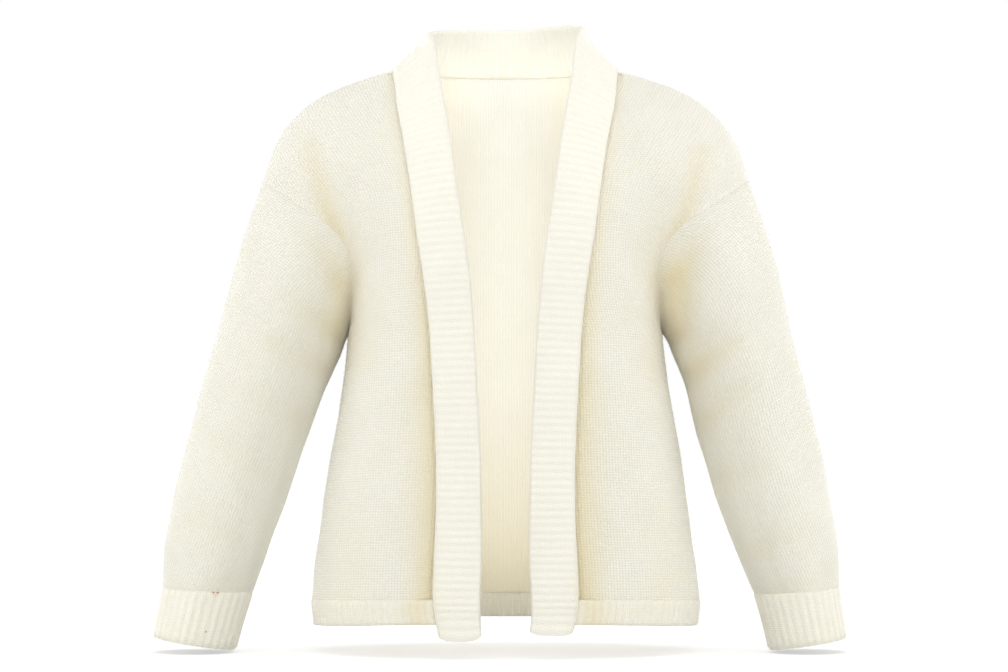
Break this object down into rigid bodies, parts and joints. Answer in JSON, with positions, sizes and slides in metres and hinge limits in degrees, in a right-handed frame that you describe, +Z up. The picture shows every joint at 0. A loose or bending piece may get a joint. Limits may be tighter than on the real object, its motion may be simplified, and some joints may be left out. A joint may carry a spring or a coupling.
{
  "type": "open-front cardigan",
  "caption": "Open-front wool cardigan with dropped shoulders, a ribbed band that runs round the neck, and ribbed cuffs and hem, filled out with no wearer.",
  "frame": {"origin": "base of the neck, midway between the two shoulder seams where they meet the collar", "axes": "+Z up, -Y to the front of the garment, +X to the wearer's left"},
  "size_m": [0.7389, 0.2404, 0.6708],
  "materials": {
    "cream_wool_knit": "soft plain wool knit with a light fuzz",
    "cream_wool_rib": "soft ribbed wool knit"
  },
  "bodies": {
    "root": {"back_panel": "cream_wool_knit", "right_front": "cream_wool_knit", "left_front": "cream_wool_knit", "right_sleeve": "cream_wool_knit", "left_sleeve": "cream_wool_knit", "right_cuff": "cream_wool_rib", "left_cuff": "cream_wool_rib", "back_hem_rib": "cream_wool_rib", "right_hem_rib": "cream_wool_rib", "left_hem_rib": "cream_wool_rib", "front_band": "cream_wool_rib"}
  },
  "joints": []
}
